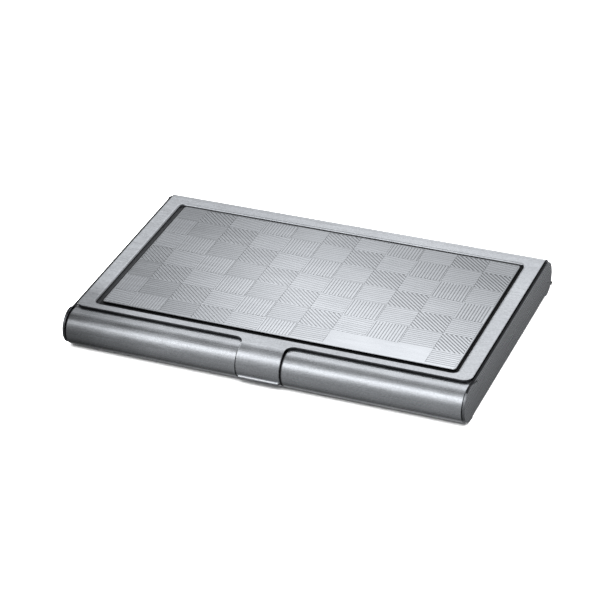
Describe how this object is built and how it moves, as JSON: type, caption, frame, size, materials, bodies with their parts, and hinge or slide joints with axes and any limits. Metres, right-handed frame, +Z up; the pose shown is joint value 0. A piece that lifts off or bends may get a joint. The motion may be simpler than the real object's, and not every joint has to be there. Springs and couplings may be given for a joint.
{
  "type": "business card case",
  "caption": "Slim metal case for business cards: rolled sheet base, hinged lid with a thumb tab and a plate engraved with a woven pattern of fine lines.",
  "frame": {"origin": "centre of the underside, on the surface that the case lies on", "axes": "+X to the right along the length, -Y towards the front where the thumb tab is, +Z up"},
  "size_m": [0.0952, 0.0602, 0.0088],
  "materials": {
    "case_steel": "brushed along the length",
    "plate_steel": "satin, engraved with fine lines",
    "hinge_steel": "plain stamped",
    "spring_steel": "plain rolled strip",
    "adhesive": "thin tape"
  },
  "bodies": {
    "base": {"base_shell": "case_steel", "hinge_pin_left": "hinge_steel", "hinge_pin_right": "hinge_steel", "friction_spring_left": "spring_steel", "friction_spring_right": "spring_steel", "spring_rivet_left": "hinge_steel", "spring_rivet_right": "hinge_steel"},
    "lid": {"lid_shell": "case_steel", "inlay_plate": "plate_steel", "inlay_adhesive": "adhesive", "hinge_bracket_left": "hinge_steel", "hinge_bracket_right": "hinge_steel"}
  },
  "joints": [
    {"name": "lid_hinge", "type": "hinge", "parent": "base", "child": "lid", "pos_m": [0, 0.0257, 0.00475], "axis": [-1, 0, 0], "range_deg": [0, 95]}
  ]
}
